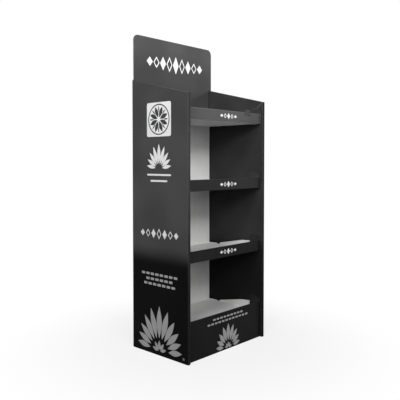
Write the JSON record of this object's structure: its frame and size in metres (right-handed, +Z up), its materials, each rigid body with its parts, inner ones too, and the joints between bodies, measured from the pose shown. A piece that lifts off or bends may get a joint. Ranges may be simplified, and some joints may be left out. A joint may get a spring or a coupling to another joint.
{
  "type": "cardboard display stand",
  "caption": "Floor-standing display of folded corrugated board: hollow side walls with sloping tops, open trays with rolled-over fronts, a base panel and a header card.",
  "frame": {"origin": "centre of the footprint, on the floor", "axes": "+Z up, the open front faces -Y, +X to the right as seen from the front"},
  "size_m": [0.6044, 0.4, 1.616],
  "materials": {
    "black_printed_board": "black printed face with a satin varnish",
    "white_board": "uncoated white face",
    "kraft_board": "plain brown kraft",
    "white_plastic": "moulded, satin",
    "smoked_plastic": "clear grey strip, satin"
  },
  "bodies": {
    "root": {"body_wrap": "black_printed_board", "header_card": "black_printed_board", "top_front": "black_printed_board", "middle_front": "black_printed_board", "lower_front": "black_printed_board", "base_front": "black_printed_board", "back_liner": "white_board", "top_tray": "white_board", "middle_tray": "white_board", "lower_tray": "white_board", "base_tray": "white_board", "crate_long_board_front": "kraft_board", "crate_long_board_rear": "kraft_board", "crate_cross_board_left": "kraft_board", "crate_cross_board_middle": "kraft_board", "crate_cross_board_right": "kraft_board", "push_rivet_left": "white_plastic", "push_rivet_right": "white_plastic", "ticket_clip": "smoked_plastic"}
  },
  "joints": []
}
